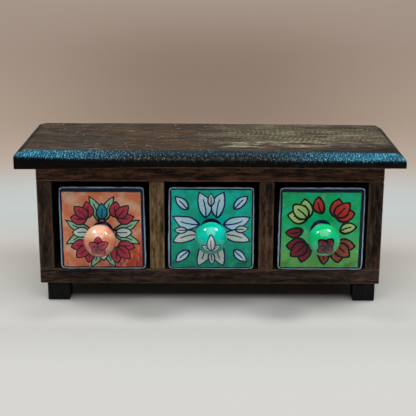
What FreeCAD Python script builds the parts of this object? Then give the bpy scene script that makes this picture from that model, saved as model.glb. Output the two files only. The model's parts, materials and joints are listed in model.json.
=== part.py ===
import FreeCAD, Part

# A small wooden chest with three glazed ceramic drawers for beads, pans of paint and other small parts.
#
# The case is six boards and a back panel, nailed together and left open at the front.  A bevelled lid
# is screwed on from inside, four block feet are nailed on below, and a one-piece ceramic tub with a
# ball knob slides in each bay.  The case has no runners: a tub slides on the bottom board.
# The case is cut to fit its tubs, so their sizes and the room round them set the sizes of its boards.
# It is made by hand: the bays differ a little in width, and the tubs and knobs are not quite centred.
#
# Frame: +X to the right, +Y to the back, +Z up, millimetres.  The origin is at the bottom centre of
# the box round the whole object, knobs included.

import os

import Sketcher
from FreeCAD import Placement, Rotation, Vector

doc = FreeCAD.newDocument("DrawerChest")


# ---------------------------------------------------------------- driving dimensions

SIZES = {
    # the ceramic tubs
    "tub_width": 58.2,
    "tub_height": 57.9,
    "tub_length": 75.7,
    "tub_wall": 4.5,
    "tub_front_wall": 5.5,
    "tub_floor": 5.0,
    "tub_corner_radius": 3.0,
    "tub_front_radius": 2.2,
    "tub_back_radius": 2.5,
    "tub_rim_radius": 1.0,
    "cavity_corner_radius": 5.0,
    "cavity_floor_radius": 3.0,
    # the room round the tubs
    "left_bay_clearance": 3.25,
    "middle_bay_clearance": 2.4,
    "right_bay_clearance": 2.05,
    "top_clearance": 3.1,
    "back_clearance": 0.3,
    # where each tub and knob really sits
    "tub_reveal": 2.0,
    "left_tub_shift": 1.1,
    "middle_tub_shift": -0.4,
    "right_tub_shift": 0.4,
    "left_knob_drop": 2.6,
    "middle_knob_drop": 0.4,
    "right_knob_drop": 1.3,
    # the case
    "upright_thickness": 10.0,
    "top_board_thickness": 12.0,
    "bottom_board_thickness": 10.5,
    "back_panel_thickness": 4.0,
    "board_arris": 0.7,
    # the lid
    "lid_thickness": 10.5,
    "lid_overhang": 12.0,
    "lid_bevel_width": 6.5,
    "lid_bevel_height": 5.0,
    "lid_edge_radius": 1.2,
    # the feet
    "foot_width": 15.0,
    "foot_depth": 15.0,
    "foot_height": 12.5,
    "left_foot_inset": 4.5,
    "right_foot_inset": 2.5,
    "front_foot_inset": 1.0,
    "back_foot_inset": 4.0,
    # the ball knobs
    "knob_reach": 28.5,
    "knob_ball_radius": 10.6,
    "knob_neck_radius": 5.6,
    "knob_base_radius": 7.6,
    "knob_base_lip": 0.6,
    "knob_throat_radius": 1.5,
    # case nails: two through each end of every upright
    "nail_radius": 0.9,
    "nail_length": 26.0,
    "nail_head_radius": 1.8,
    "nail_head_thickness": 0.8,
    "nail_point": 2.5,
    "nail_inset": 19.0,
    # panel pins that hold the back panel
    "pin_radius": 0.6,
    "pin_length": 14.0,
    "pin_head_radius": 1.2,
    "pin_head_thickness": 0.5,
    "pin_point": 1.5,
    "pin_inset": 13.0,
    # nails that hold the feet, driven from below
    "foot_nail_radius": 0.8,
    "foot_nail_length": 19.0,
    "foot_nail_head_radius": 1.6,
    "foot_nail_head_thickness": 0.7,
    "foot_nail_point": 2.0,
    "foot_nail_recess": 0.6,
    "foot_nail_offset": 3.2,
    # countersunk screws that hold the lid, driven from inside the bays
    "screw_radius": 1.5,
    "screw_length": 18.0,
    "screw_head_radius": 3.0,
    "screw_head_height": 1.6,
    "screw_point": 2.5,
    "screw_inset": 20.0,
    "screw_slot_width": 0.8,
    "screw_slot_depth": 0.7,
}

sheet = doc.addObject("Spreadsheet::Sheet", "Sizes")
for row, (alias, value) in enumerate(SIZES.items(), start=1):
    sheet.set(f"A{row}", str(value))
    sheet.setAlias(f"A{row}", alias)
doc.recompute()


# ---------------------------------------------------------------- sizes and places worked out from them

S = "Sizes."
BAYS = ("left", "middle", "right")

# Depth: the tubs' length sets it.  The front of the case is placed so that the box round the whole
# object is centred on Y = 0.
BOARD_DEPTH = f"({S}tub_length - {S}tub_reveal + {S}back_clearance)"
CASE_DEPTH = f"({BOARD_DEPTH} + {S}back_panel_thickness)"
FRONT_REACH = f"max({S}tub_reveal + {S}knob_reach; {S}lid_overhang)"
BACK_REACH = f"({CASE_DEPTH} + {S}lid_overhang)"
CASE_FRONT = f"(({FRONT_REACH} - {BACK_REACH}) / 2)"
CASE_BACK = f"({CASE_FRONT} + {CASE_DEPTH})"
BOARD_MIDDLE = f"({CASE_FRONT} + {BOARD_DEPTH} / 2)"
TUB_FRONT = f"({CASE_FRONT} - {S}tub_reveal)"

# Height: feet, bottom board, bays, top board, lid.
BAY_HEIGHT = f"({S}tub_height + {S}top_clearance)"
BAY_FLOOR = f"({S}foot_height + {S}bottom_board_thickness)"
BAY_CEILING = f"({BAY_FLOOR} + {BAY_HEIGHT})"
CASE_TOP = f"({BAY_CEILING} + {S}top_board_thickness)"
CASE_HEIGHT = f"({S}bottom_board_thickness + {BAY_HEIGHT} + {S}top_board_thickness)"

# Width: an upright, a bay, an upright and so on, from left to right.
BAY_WIDTHS = {bay: f"({S}tub_width + 2 * {S}{bay}_bay_clearance)" for bay in BAYS}
CASE_WIDTH = f"(4 * {S}upright_thickness + {' + '.join(BAY_WIDTHS.values())})"
CASE_LEFT = f"(-{CASE_WIDTH} / 2)"

upright_x = {}
bay_x = {}
reach = CASE_LEFT
for upright, bay in (("left_side", "left"), ("left_divider", "middle"), ("right_divider", "right")):
    upright_x[upright] = f"({reach} + {S}upright_thickness / 2)"
    bay_x[bay] = f"({reach} + {S}upright_thickness + {BAY_WIDTHS[bay]} / 2)"
    reach = f"({reach} + {S}upright_thickness + {BAY_WIDTHS[bay]})"
upright_x["right_side"] = f"({reach} + {S}upright_thickness / 2)"

# Feet: one near each corner.
FOOT_X = {
    "left": f"({CASE_LEFT} + {S}left_foot_inset + {S}foot_width / 2)",
    "right": f"(-{CASE_LEFT} - {S}right_foot_inset - {S}foot_width / 2)",
}
FOOT_Y = {
    "front": f"({CASE_FRONT} + {S}front_foot_inset + {S}foot_depth / 2)",
    "back": f"({CASE_BACK} - {S}back_foot_inset - {S}foot_depth / 2)",
}


# ---------------------------------------------------------------- small helpers

def bind(thing, settings):
    """Ties properties of an object to expressions of the sheet."""
    for name, expression in settings.items():
        thing.setExpression(name, expression)


def place(thing, x, y, z, rotation=None):
    """Puts an object where the three expressions say, turned by a fixed rotation."""
    if rotation is not None:
        thing.Placement = Placement(Vector(), rotation)
    bind(thing, {"Placement.Base.x": x, "Placement.Base.y": y, "Placement.Base.z": z})


def origin_plane(body, role):
    """The body's own XY_Plane, XZ_Plane or YZ_Plane."""
    return next(feature for feature in body.Origin.OriginFeatures if feature.Role == role)


def new_body(label):
    """An empty PartDesign body."""
    body = doc.addObject("PartDesign::Body", "Body_" + label)
    body.Label = label
    return body


def new_sketch(body, name, plane):
    """A sketch on one of the body's own origin planes."""
    sketch = body.newObject("Sketcher::SketchObject", name)
    sketch.AttachmentSupport = [(origin_plane(body, plane), "")]
    sketch.MapMode = "FlatFace"
    return sketch


def drive(sketch, constraint, expression):
    """Adds a dimension to a sketch and ties it to an expression."""
    index = sketch.addConstraint(constraint)
    sketch.setExpression(f"Constraints[{index}]", expression)


def draw_rectangle(sketch, width, height):
    """Draws a rectangle centred on the sketch's origin."""
    guess = 10.0
    corners = [Vector(-guess, -guess), Vector(guess, -guess), Vector(guess, guess), Vector(-guess, guess)]
    for start, end in zip(corners, corners[1:] + corners[:1]):
        sketch.addGeometry(Part.LineSegment(start, end))
    for side in range(4):
        sketch.addConstraint(Sketcher.Constraint("Coincident", side, 2, (side + 1) % 4, 1))
        direction = "Horizontal" if side % 2 == 0 else "Vertical"
        sketch.addConstraint(Sketcher.Constraint(direction, side))
    sketch.addConstraint(Sketcher.Constraint("Symmetric", 0, 1, 1, 2, -1, 1))
    drive(sketch, Sketcher.Constraint("DistanceX", 0, 1, 0, 2, 2 * guess), width)
    drive(sketch, Sketcher.Constraint("DistanceY", 1, 1, 1, 2, 2 * guess), height)


def draw_turned_profile(sketch, points):
    """Draws a closed profile that starts and ends on the vertical axis.

    Each point is (radius, height) as expressions, and "0" puts it on an axis.
    """
    count = len(points)
    guesses = [Vector(0 if r == "0" else 4 + i, 0 if z == "0" else 4 * i) for i, (r, z) in enumerate(points)]
    for start, end in zip(guesses, guesses[1:] + guesses[:1]):
        sketch.addGeometry(Part.LineSegment(start, end))
    for side in range(count):
        sketch.addConstraint(Sketcher.Constraint("Coincident", side, 2, (side + 1) % count, 1))
    for side, ((radius, height), guess) in enumerate(zip(points, guesses)):
        if radius == "0":
            sketch.addConstraint(Sketcher.Constraint("PointOnObject", side, 1, -2))
        else:
            drive(sketch, Sketcher.Constraint("DistanceX", -1, 1, side, 1, guess.x), radius)
        if height == "0":
            sketch.addConstraint(Sketcher.Constraint("PointOnObject", side, 1, -1))
        else:
            drive(sketch, Sketcher.Constraint("DistanceY", -1, 1, side, 1, guess.y), height)


def pad(body, sketch, length, **options):
    """Pads a sketch by an expression."""
    feature = body.newObject("PartDesign::Pad", "Pad")
    feature.Profile = sketch
    bind(feature, {"Length": length})
    for option, value in options.items():
        setattr(feature, option, value)
    return feature


def turn(body, sketch):
    """Turns a sketch once round its vertical axis."""
    feature = body.newObject("PartDesign::Revolution", "Revolution")
    feature.Profile = sketch
    feature.ReferenceAxis = (sketch, ["V_Axis"])
    feature.Angle = 360.0
    return feature


def edges_of(feature, wanted):
    """The names of a feature's edges for which wanted(edge) is true."""
    names = [f"Edge{number}" for number, edge in enumerate(feature.Shape.Edges, 1) if wanted(edge)]
    assert names, f"no such edge on {feature.Label}"
    return names


def fillet(body, base, wanted, radius):
    """Rounds some edges of the body by an expression."""
    doc.recompute()
    feature = body.newObject("PartDesign::Fillet", "Fillet")
    feature.Base = (base, edges_of(base, wanted))
    bind(feature, {"Radius": radius})
    return feature


def chamfer(body, base, wanted, size, other_size=None):
    """Bevels some edges of the body, with one size or two."""
    doc.recompute()
    feature = body.newObject("PartDesign::Chamfer", "Chamfer")
    feature.Base = (base, edges_of(base, wanted))
    if other_size is None:
        bind(feature, {"Size": size})
    else:
        feature.ChamferType = "Two distances"
        bind(feature, {"Size": size, "Size2": other_size})
    return feature


NEAR = 1e-4  # two coordinates this close are the same


def lies_at(edge, axis, value):
    """True if the whole edge lies in the plane where x, y or z has that value."""
    box = edge.BoundBox
    low, high = {"x": (box.XMin, box.XMax), "y": (box.YMin, box.YMax), "z": (box.ZMin, box.ZMax)}[axis]
    return abs(low - value) < NEAR and abs(high - value) < NEAR


def runs_along(edge, axis):
    """True if the edge is a straight line along x, y or z."""
    if not isinstance(edge.Curve, Part.Line):
        return False
    direction = edge.Curve.Direction
    return abs(abs({"x": direction.x, "y": direction.y, "z": direction.z}[axis]) - 1) < NEAR


# ---------------------------------------------------------------- fasteners

def make_turned(name, profile):
    """A body turned round the vertical axis from a profile."""
    body = new_body(name)
    sketch = new_sketch(body, "Profile", "XZ_Plane")
    draw_turned_profile(sketch, profile)
    turn(body, sketch)
    return body


def nail_profile(size, under_head="0"):
    """Half the outline of a round nail that stands on its head at the origin and points up.

    size is the start of the nail's names in the sheet.  As a cutter the outline reaches down by
    under_head, which opens the pit that a sunk head leaves.
    """
    return [
        ("0", under_head),
        (f"{S}{size}_head_radius", under_head),
        (f"{S}{size}_head_radius", f"{S}{size}_head_thickness"),
        (f"{S}{size}_radius", f"{S}{size}_head_thickness"),
        (f"{S}{size}_radius", f"({S}{size}_length - {S}{size}_point)"),
        ("0", f"{S}{size}_length"),
    ]


def screw_profile():
    """Half the outline of a countersunk wood screw, standing on its head at the origin."""
    return [
        ("0", "0"),
        (f"{S}screw_head_radius", "0"),
        (f"{S}screw_radius", f"{S}screw_head_height"),
        (f"{S}screw_radius", f"({S}screw_length - {S}screw_point)"),
        ("0", f"{S}screw_length"),
    ]


def cut_slot(body):
    """Cuts the screwdriver's slot across a screw's head."""
    doc.recompute()
    sketch = new_sketch(body, "Slot", "XY_Plane")
    draw_rectangle(sketch, f"{S}screw_slot_width", f"(3 * {S}screw_head_radius)")
    slot = body.newObject("PartDesign::Pocket", "Pocket")
    slot.Profile = sketch
    slot.Reversed = True
    bind(slot, {"Length": f"{S}screw_slot_depth"})


def make_group(label, fastener, places, rotation):
    """Copies of one fastener as a group of separate solids."""
    copies = []
    for number, (x, y, z) in enumerate(places, start=1):
        copy = doc.addObject("App::Link", f"{label}_{number}")
        copy.LinkedObject = fastener
        copy.LinkTransform = False
        place(copy, x, y, z, rotation)
        copies.append(copy)
    group = doc.addObject("Part::Compound", "Group_" + label)
    group.Label = label
    group.Links = copies
    return group


POINTS_UP = Rotation()
POINTS_DOWN = Rotation(Vector(1, 0, 0), 180)
POINTS_FORWARD = Rotation(Vector(1, 0, 0), 90)

nail = make_turned("case_nail", nail_profile("nail"))
nail_rows = [f"({CASE_FRONT} + {S}nail_inset)", f"({CASE_FRONT} + {BOARD_DEPTH} - {S}nail_inset)"]
top_board_nails = make_group(
    "top_board_nails", nail,
    [(x, y, CASE_TOP) for x in upright_x.values() for y in nail_rows], POINTS_DOWN)
bottom_board_nails = make_group(
    "bottom_board_nails", nail,
    [(x, y, f"{S}foot_height") for x in upright_x.values() for y in nail_rows], POINTS_UP)

pin = make_turned("panel_pin", nail_profile("pin"))
pin_places = [(x, CASE_BACK, z) for x in upright_x.values()
              for z in (f"({BAY_FLOOR} + {S}pin_inset)", f"({BAY_CEILING} - {S}pin_inset)")]
pin_places += [(x, CASE_BACK, z) for x in bay_x.values()
               for z in (f"({S}foot_height + {S}bottom_board_thickness / 2)",
                         f"({BAY_CEILING} + {S}top_board_thickness / 2)")]
back_panel_pins = make_group("back_panel_pins", pin, pin_places, POINTS_FORWARD)

foot_nail = make_turned("foot_nail", nail_profile("foot_nail"))
foot_nail_cutter = make_turned("foot_nail_cutter", nail_profile("foot_nail", f"(-{S}foot_nail_recess)"))
foot_nail_places = [(f"({x} {step} {S}foot_nail_offset)", f"({y} {step} {S}foot_nail_offset)",
                     f"{S}foot_nail_recess")
                    for x in FOOT_X.values() for y in FOOT_Y.values() for step in "-+"]
foot_nails = make_group("foot_nails", foot_nail, foot_nail_places, POINTS_UP)
foot_nail_holes = make_group("foot_nail_holes", foot_nail_cutter, foot_nail_places, POINTS_UP)

screw = make_turned("lid_screw", screw_profile())
cut_slot(screw)
screw_cutter = make_turned("lid_screw_cutter", screw_profile())
screw_rows = [f"({CASE_FRONT} + {S}screw_inset)", f"({CASE_FRONT} + {BOARD_DEPTH} - {S}screw_inset)"]
screw_places = [(x, y, BAY_CEILING) for x in bay_x.values() for y in screw_rows]
lid_screws = make_group("lid_screws", screw, screw_places, POINTS_UP)
lid_screw_holes = make_group("lid_screw_holes", screw_cutter, screw_places, POINTS_UP)


# ---------------------------------------------------------------- wooden pieces

def make_block(name, width, depth, height):
    """A board or block with its arrises taken off, standing on the origin and centred in X and Y."""
    body = new_body(name)
    sketch = new_sketch(body, "Outline", "XY_Plane")
    draw_rectangle(sketch, width, depth)
    block = pad(body, sketch, height)
    chamfer(body, block, lambda edge: True, f"{S}board_arris")
    return body


def drill(label, body, *fasteners):
    """Cuts the fasteners' holes in a piece, one cut after the other, and gives the result its name."""
    piece = body
    for fastener in fasteners:
        holes = doc.addObject("Part::Cut", f"Drilled_{label}")
        holes.Base = piece
        holes.Tool = fastener
        piece = holes
    piece.Label = label
    return piece


nodes = []

# The bottom and top boards run the full width, and the four uprights stand between them.
bottom_blank = make_block("bottom_board_blank", CASE_WIDTH, BOARD_DEPTH, f"{S}bottom_board_thickness")
place(bottom_blank, "0", BOARD_MIDDLE, f"{S}foot_height")
nodes.append(drill("bottom_board", bottom_blank, bottom_board_nails, foot_nail_holes, back_panel_pins))

top_blank = make_block("top_board_blank", CASE_WIDTH, BOARD_DEPTH, f"{S}top_board_thickness")
place(top_blank, "0", BOARD_MIDDLE, BAY_CEILING)
nodes.append(drill("top_board", top_blank, top_board_nails, lid_screw_holes, back_panel_pins))

for name, x in upright_x.items():
    upright_blank = make_block(name + "_blank", f"{S}upright_thickness", BOARD_DEPTH, BAY_HEIGHT)
    place(upright_blank, x, BOARD_MIDDLE, BAY_FLOOR)
    nodes.append(drill(name, upright_blank, bottom_board_nails, top_board_nails, back_panel_pins))

back_blank = make_block("back_panel_blank", CASE_WIDTH, f"{S}back_panel_thickness", CASE_HEIGHT)
place(back_blank, "0", f"({CASE_BACK} - {S}back_panel_thickness / 2)", f"{S}foot_height")
nodes.append(drill("back_panel", back_blank, back_panel_pins))


def make_lid():
    """The lid: a board that overhangs the case all round, bevelled on its four upper edges."""
    body = new_body("lid_blank")
    sketch = new_sketch(body, "Outline", "XY_Plane")
    draw_rectangle(sketch, f"({CASE_WIDTH} + 2 * {S}lid_overhang)", f"({CASE_DEPTH} + 2 * {S}lid_overhang)")
    board = pad(body, sketch, f"{S}lid_thickness")
    top = float(sheet.lid_thickness)
    shoulder = top - float(sheet.lid_bevel_height)
    bevel = chamfer(body, board, lambda edge: lies_at(edge, "z", top),
                    f"{S}lid_bevel_height", f"{S}lid_bevel_width")
    fillet(body, bevel, lambda edge: lies_at(edge, "z", top) or lies_at(edge, "z", shoulder),
           f"{S}lid_edge_radius")
    return body


lid_blank = make_lid()
place(lid_blank, "0", f"({CASE_FRONT} + {CASE_DEPTH} / 2)", CASE_TOP)
nodes.append(drill("lid", lid_blank, lid_screw_holes))

for end, y in FOOT_Y.items():
    for side, x in FOOT_X.items():
        label = f"foot_{end}_{side}"
        foot_blank = make_block(label + "_blank", f"{S}foot_width", f"{S}foot_depth", f"{S}foot_height")
        place(foot_blank, x, y, "0")
        nodes.append(drill(label, foot_blank, foot_nail_holes))

nodes += [top_board_nails, bottom_board_nails, back_panel_pins, foot_nails, lid_screws]


# ---------------------------------------------------------------- ceramic pieces

def make_tub(label):
    """An open-topped tub.  Its front face lies in Y = 0 and its underside in Z = 0 of its own frame."""
    body = new_body(label)
    outline = new_sketch(body, "Front", "XZ_Plane")
    draw_rectangle(outline, f"{S}tub_width", f"{S}tub_height")
    bind(outline, {"AttachmentOffset.Base.y": f"{S}tub_height / 2"})
    block = pad(body, outline, f"{S}tub_length", Reversed=True)
    rounded = fillet(body, block, lambda edge: runs_along(edge, "y"), f"{S}tub_corner_radius")
    length = float(sheet.tub_length)
    faced = fillet(body, rounded, lambda edge: lies_at(edge, "y", 0.0), f"{S}tub_front_radius")
    backed = fillet(body, faced, lambda edge: lies_at(edge, "y", length), f"{S}tub_back_radius")

    mouth = new_sketch(body, "Mouth", "XY_Plane")
    cavity_length = f"({S}tub_length - {S}tub_front_wall - {S}tub_wall)"
    draw_rectangle(mouth, f"({S}tub_width - 2 * {S}tub_wall)", cavity_length)
    bind(mouth, {
        "AttachmentOffset.Base.y": f"{S}tub_front_wall + {cavity_length} / 2",
        "AttachmentOffset.Base.z": f"{S}tub_height",
    })
    doc.recompute()
    block_volume = backed.Shape.Volume
    cavity = body.newObject("PartDesign::Pocket", "Pocket")
    cavity.Profile = mouth
    bind(cavity, {"Length": f"({S}tub_height - {S}tub_floor)"})
    doc.recompute()
    assert cavity.Shape.Volume < block_volume, "the tub's cavity was not cut"

    cavity_side = float(sheet.tub_width) / 2 - float(sheet.tub_wall)
    cavity_front = float(sheet.tub_front_wall)
    cavity_back = length - float(sheet.tub_wall)

    def is_in_cavity(edge):
        box = edge.BoundBox
        across = -cavity_side - NEAR < box.XMin and box.XMax < cavity_side + NEAR
        along = cavity_front - NEAR < box.YMin and box.YMax < cavity_back + NEAR
        return across and along

    cornered = fillet(body, cavity, lambda edge: is_in_cavity(edge) and runs_along(edge, "z"),
                      f"{S}cavity_corner_radius")
    coved = fillet(body, cornered, lambda edge: lies_at(edge, "z", float(sheet.tub_floor)),
                   f"{S}cavity_floor_radius")
    fillet(body, coved, lambda edge: is_in_cavity(edge) and lies_at(edge, "z", float(sheet.tub_height)),
           f"{S}tub_rim_radius")
    return body


def make_knob(label):
    """A ball on a short flared neck.  It stands on the origin of its own frame and points along +Y."""
    body = new_body(label)
    sketch = new_sketch(body, "Profile", "XY_Plane")
    ball_centre = f"({S}knob_reach - {S}knob_ball_radius)"
    flare = f"({S}knob_base_radius - {S}knob_neck_radius)"
    # rough places of the points, for the sketch's solver to start from
    base = float(sheet.knob_base_radius)
    lip = float(sheet.knob_base_lip)
    neck = float(sheet.knob_neck_radius)
    ball = float(sheet.knob_ball_radius)
    reach = float(sheet.knob_reach)
    centre = Vector(0, reach - ball)
    throat = Vector(neck, centre.y - (ball ** 2 - neck ** 2) ** 0.5)
    flare_centre = Vector(base, lip + base - neck)
    axis_line = sketch.addGeometry(Part.LineSegment(Vector(0, reach), Vector(0, 0)))
    base_line = sketch.addGeometry(Part.LineSegment(Vector(0, 0), Vector(base, 0)))
    lip_line = sketch.addGeometry(Part.LineSegment(Vector(base, 0), Vector(base, lip)))
    circle = Part.Circle(flare_centre, Vector(0, 0, 1), base - neck)
    flare_arc = sketch.addGeometry(Part.ArcOfCircle(circle, 3.14159265, 4.71238898))
    neck_line = sketch.addGeometry(Part.LineSegment(Vector(neck, flare_centre.y), throat))
    ball_circle = Part.Circle(centre, Vector(0, 0, 1), ball)
    low_angle = Vector(1, 0, 0).getAngle(throat - centre)
    ball_arc = sketch.addGeometry(Part.ArcOfCircle(ball_circle, -low_angle, 1.57079633))
    for one, one_end, other, other_end in (
        (axis_line, 2, base_line, 1),
        (base_line, 2, lip_line, 1),
        (lip_line, 2, flare_arc, 2),
        (flare_arc, 1, neck_line, 1),
        (neck_line, 2, ball_arc, 1),
        (ball_arc, 2, axis_line, 1),
    ):
        sketch.addConstraint(Sketcher.Constraint("Coincident", one, one_end, other, other_end))
    sketch.addConstraint(Sketcher.Constraint("Coincident", axis_line, 2, -1, 1))
    sketch.addConstraint(Sketcher.Constraint("Vertical", axis_line))
    sketch.addConstraint(Sketcher.Constraint("Horizontal", base_line))
    sketch.addConstraint(Sketcher.Constraint("Vertical", lip_line))
    sketch.addConstraint(Sketcher.Constraint("Vertical", neck_line))
    sketch.addConstraint(Sketcher.Constraint("PointOnObject", ball_arc, 3, -2))
    drive(sketch, Sketcher.Constraint("DistanceX", -1, 1, lip_line, 1, base), f"{S}knob_base_radius")
    drive(sketch, Sketcher.Constraint("DistanceY", lip_line, 1, lip_line, 2, lip), f"{S}knob_base_lip")
    drive(sketch, Sketcher.Constraint("DistanceX", -1, 1, neck_line, 1, neck), f"{S}knob_neck_radius")
    drive(sketch, Sketcher.Constraint("DistanceY", lip_line, 2, neck_line, 1, base - neck), flare)
    drive(sketch, Sketcher.Constraint("Radius", flare_arc, base - neck), flare)
    drive(sketch, Sketcher.Constraint("DistanceY", -1, 1, ball_arc, 3, centre.y), ball_centre)
    drive(sketch, Sketcher.Constraint("Radius", ball_arc, ball), f"{S}knob_ball_radius")
    ball_and_neck = turn(body, sketch)
    doc.recompute()

    def is_throat(edge):
        box = edge.BoundBox
        flat = box.YMax - box.YMin < NEAR
        return flat and abs(box.YMin - throat.y) < NEAR

    fillet(body, ball_and_neck, is_throat, f"{S}knob_throat_radius")
    return body


POINTS_AT_USER = Rotation(Vector(0, 0, 1), 180)

for bay in BAYS:
    x = f"({bay_x[bay]} + {S}{bay}_tub_shift)"
    tub = make_tub(f"drawer_{bay}_tub")
    place(tub, x, TUB_FRONT, BAY_FLOOR)
    knob = make_knob(f"drawer_{bay}_knob")
    place(knob, x, TUB_FRONT, f"({BAY_FLOOR} + {S}tub_height / 2 - {S}{bay}_knob_drop)", POINTS_AT_USER)
    nodes += [tub, knob]


# ---------------------------------------------------------------- check and write

doc.recompute()

for thing in doc.Objects:
    assert "Invalid" not in thing.State and "Error" not in thing.State, f"{thing.Label}: {thing.State}"
for node in nodes:
    assert not node.Shape.isNull() and node.Shape.isValid(), f"{node.Label} has no valid shape"
    assert node.Shape.Solids, f"{node.Label} has no solid"

os.makedirs("parts", exist_ok=True)
for node in nodes:
    node.Shape.exportStep(f"parts/{node.Label}.step")
    print(f"{node.Label}: {len(node.Shape.Solids)} solid(s), {node.Shape.Volume / 1000:.2f} cm3")
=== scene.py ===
# %% [markdown]
# # A small wooden chest with three painted ceramic drawers
#
# The CAD model of this chest says where every piece is, how large it is and which pieces move together.
# Blender adds the looks: worn wood, chipped paint on the lid, and three glazed drawers with ball knobs.

# %% Load the chest
import json
import math

import bmesh
import bpy
from mathutils import Matrix, Vector, noise

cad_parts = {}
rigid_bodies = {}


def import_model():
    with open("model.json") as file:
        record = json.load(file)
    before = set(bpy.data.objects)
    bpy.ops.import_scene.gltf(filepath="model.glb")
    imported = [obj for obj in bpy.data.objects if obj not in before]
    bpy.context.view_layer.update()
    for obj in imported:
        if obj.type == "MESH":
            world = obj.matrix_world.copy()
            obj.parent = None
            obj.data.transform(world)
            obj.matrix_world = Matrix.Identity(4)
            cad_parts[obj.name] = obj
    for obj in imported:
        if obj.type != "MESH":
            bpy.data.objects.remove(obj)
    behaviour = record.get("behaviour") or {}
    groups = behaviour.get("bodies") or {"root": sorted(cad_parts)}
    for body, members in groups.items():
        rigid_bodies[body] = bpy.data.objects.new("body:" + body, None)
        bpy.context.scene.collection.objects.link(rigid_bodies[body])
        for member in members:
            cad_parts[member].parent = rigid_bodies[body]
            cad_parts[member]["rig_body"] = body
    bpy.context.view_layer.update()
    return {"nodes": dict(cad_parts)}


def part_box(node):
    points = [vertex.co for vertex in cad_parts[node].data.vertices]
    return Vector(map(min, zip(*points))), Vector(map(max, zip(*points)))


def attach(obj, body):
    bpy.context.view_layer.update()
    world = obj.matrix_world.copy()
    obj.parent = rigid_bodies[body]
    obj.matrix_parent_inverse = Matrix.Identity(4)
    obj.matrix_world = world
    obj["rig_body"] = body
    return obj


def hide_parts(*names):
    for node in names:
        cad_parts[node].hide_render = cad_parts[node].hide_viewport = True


for leftover in list(bpy.data.objects):
    bpy.data.objects.remove(leftover)
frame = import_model()

MM = 0.001  # one millimetre, in metres
BAYS = ("left", "middle", "right")


def new_object(name, data):
    """An object in the scene."""
    thing = bpy.data.objects.new(name, data)
    bpy.context.scene.collection.objects.link(thing)
    return thing


def print_faces(pieces):
    """Says how many faces each piece has."""
    for name, piece in pieces.items():
        print(name, len(piece.data.polygons), "faces")


# %% [markdown]
# ## The camera
#
# The camera looks from a little above, so that the lid's top shows as well as the drawers, and a long lens
# keeps the edges nearly parallel.  Its axes are built from three angles, because plain vectors are easier to
# check than a chain of rotations.

# %% Place the camera
PICTURE_WIDTH_PX = 416
FOCAL_LENGTH_PX = 991.8
CAMERA_PLACE = Vector((1.04, -662.32, 250.85)) * MM
YAW, PITCH, ROLL = (math.radians(angle) for angle in (-0.21, 16.28, 0.16))

flat_right = Vector((math.cos(YAW), -math.sin(YAW), 0))
ahead = Vector((math.sin(YAW) * math.cos(PITCH), math.cos(YAW) * math.cos(PITCH), -math.sin(PITCH)))
flat_up = flat_right.cross(ahead)
right = flat_right * math.cos(ROLL) + flat_up * math.sin(ROLL)
up = flat_up * math.cos(ROLL) - flat_right * math.sin(ROLL)

camera = new_object("camera", bpy.data.cameras.new("camera"))
camera.matrix_world = Matrix.Translation(CAMERA_PLACE) @ Matrix((right, up, -ahead)).transposed().to_4x4()
camera.data.sensor_width = 36
camera.data.lens = camera.data.sensor_width * FOCAL_LENGTH_PX / PICTURE_WIDTH_PX
camera.data.clip_start = 0.01
bpy.context.scene.camera = camera
print("lens:", round(camera.data.lens, 1), "mm")

# %% [markdown]
# ## Helpers for node trees
#
# Every finish below is a tree of nodes.  These helpers add a node in one line, and what comes out of a node
# can stand in a sum as a number can.  They serve shader trees and geometry trees alike.

# %% Add nodes in one line each
def maths(operation):
    """A function that adds one step of arithmetic."""
    return lambda *values: add("ShaderNodeMath", dict(enumerate(values)), operation=operation)


class Value:
    """What comes out of a node.  A sum of values adds the nodes that work it out."""

    tree = None  # where new nodes go: the group or the material that was opened last

    def __init__(self, node, output=0):
        self.node = node
        self.socket = node.outputs[output]

    def __getitem__(self, output):
        return Value(self.node, output)

    def __rsub__(self, number):
        return maths("SUBTRACT")(number, self)

    __add__ = maths("ADD")
    __sub__ = maths("SUBTRACT")
    __mul__ = maths("MULTIPLY")
    __truediv__ = maths("DIVIDE")
    __pow__ = maths("POWER")
    __abs__ = maths("ABSOLUTE")


# mul_add multiplies the first value by the second and adds the third
mul_add, most, least, root = map(maths, ("MULTIPLY_ADD", "MAXIMUM", "MINIMUM", "SQRT"))


def colour(hex_code):
    """A colour's code as linear red, green, blue and alpha."""
    channels = [int(hex_code[place:place + 2], 16) / 255 for place in (0, 2, 4)]
    return tuple(c / 12.92 if c <= 0.04045 else ((c + 0.055) / 1.055) ** 2.4 for c in channels) + (1.0,)


def fill(node, sockets):
    """Fills inputs, by name or number, with values, numbers and colours' codes."""
    for name, value in sockets.items():
        if isinstance(value, Value):
            node.id_data.links.new(value.socket, node.inputs[name])
        else:
            node.inputs[name].default_value = colour(value) if isinstance(value, str) else value


def add(kind, sockets=None, **settings):
    """Adds a node to the open tree, with its settings and its inputs."""
    node = Value.tree.nodes.new(kind)
    for name, value in settings.items():
        setattr(node, name, value)
    fill(node, sockets or {})
    return Value(node)


def vector(operation, *values, **sockets):
    """One step of arithmetic with vectors."""
    return add("ShaderNodeVectorMath", dict(enumerate(values)) | sockets, operation=operation)


def stretch(point, *factors):
    """The point with each coordinate multiplied."""
    return vector("MULTIPLY", point, factors)


def split(point):
    """The X, the Y and the Z of a point."""
    node = add("ShaderNodeSeparateXYZ", {0: point})
    return node["X"], node["Y"], node["Z"]


def join(*coordinates):
    """A point from its X, Y and Z."""
    return add("ShaderNodeCombineXYZ", dict(enumerate(coordinates)))


def fade(value, start, end):
    """0 where the value is at start and 1 where it is at end, with a soft passage between."""
    ends = {"Value": value, "From Min": start, "From Max": end}
    return add("ShaderNodeMapRange", ends, interpolation_type="SMOOTHSTEP")


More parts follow.
